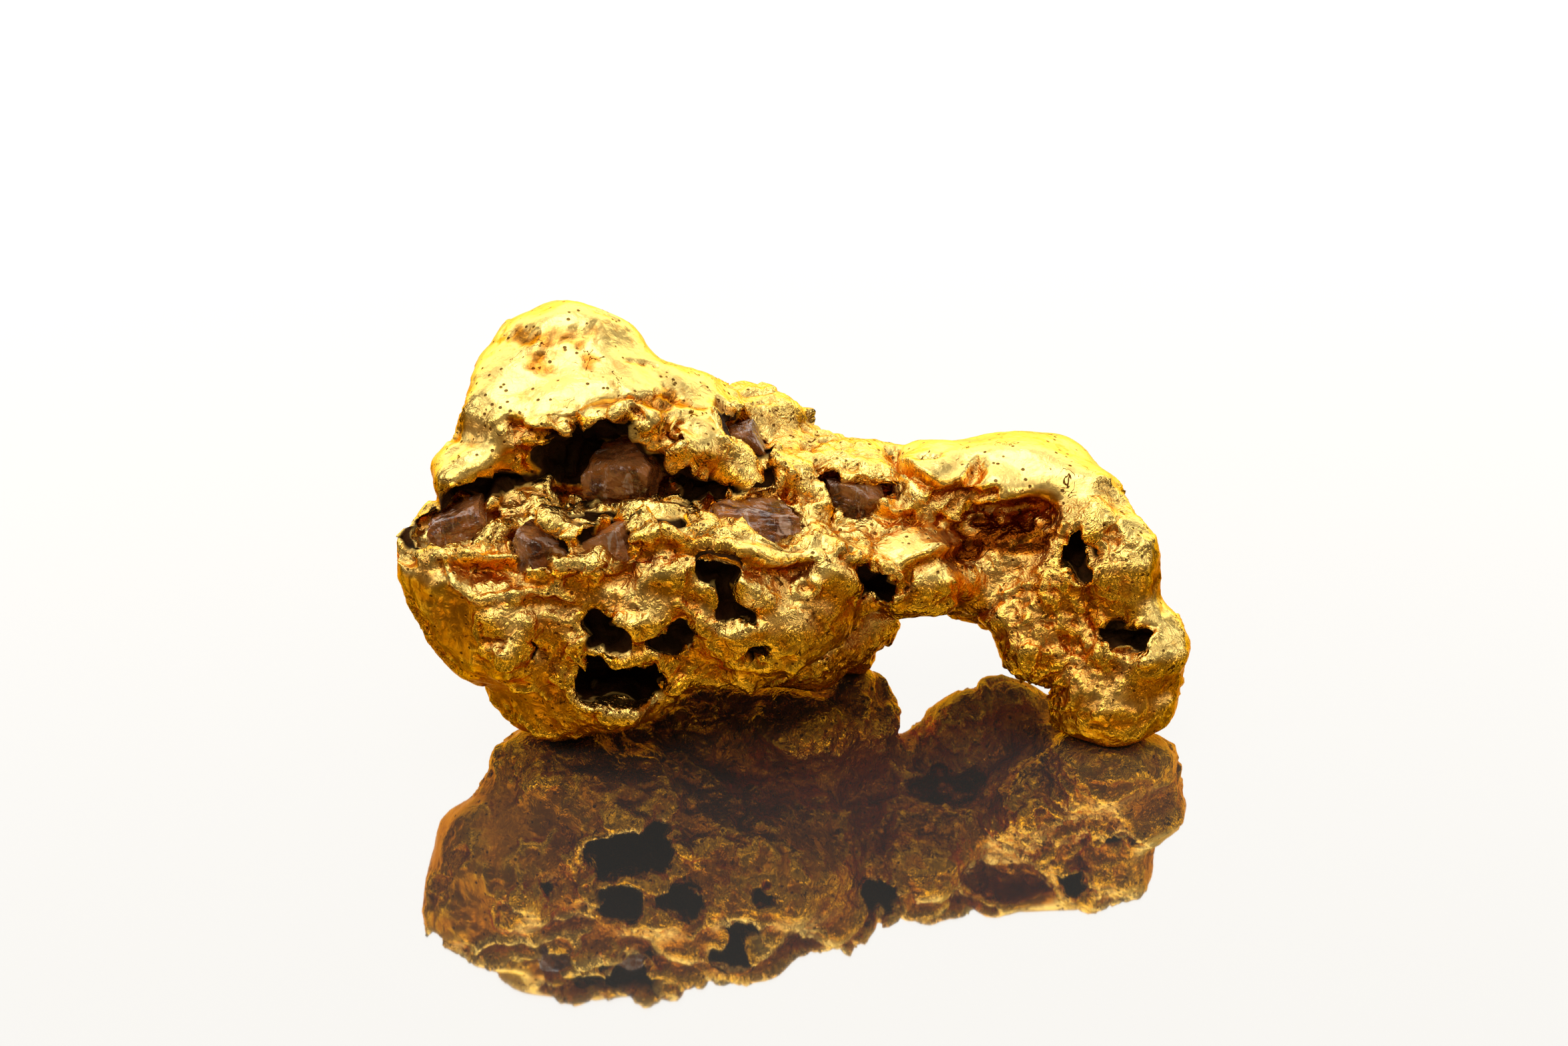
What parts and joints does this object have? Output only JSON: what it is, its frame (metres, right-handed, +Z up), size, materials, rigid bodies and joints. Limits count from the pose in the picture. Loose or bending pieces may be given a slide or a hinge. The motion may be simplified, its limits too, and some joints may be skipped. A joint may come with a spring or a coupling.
{
  "type": "gold nugget",
  "caption": "Small natural gold nugget: a pitted rounded body with a peak, a knob and an arm ending in a foot, with smoky quartz grains held in its pockets.",
  "frame": {"origin": "centre of the bounding box in plan, at the level of the three worn flats it rests on", "axes": "+X along the nugget's length towards the arm and foot, +Y from the front body towards the hidden back, +Z up"},
  "size_m": [0.0242, 0.011, 0.0124],
  "materials": {
    "gold": null,
    "smoky_quartz": "glassy, red-brown and partly see-through"
  },
  "bodies": {
    "root": {"gold_nugget": "gold", "quartz_hollow": "smoky_quartz", "quartz_notch": "smoky_quartz", "quartz_front_left": "smoky_quartz", "quartz_front_right": "smoky_quartz", "quartz_centre": "smoky_quartz", "quartz_crevice": "smoky_quartz", "quartz_saddle": "smoky_quartz", "quartz_back": "smoky_quartz"}
  },
  "joints": []
}
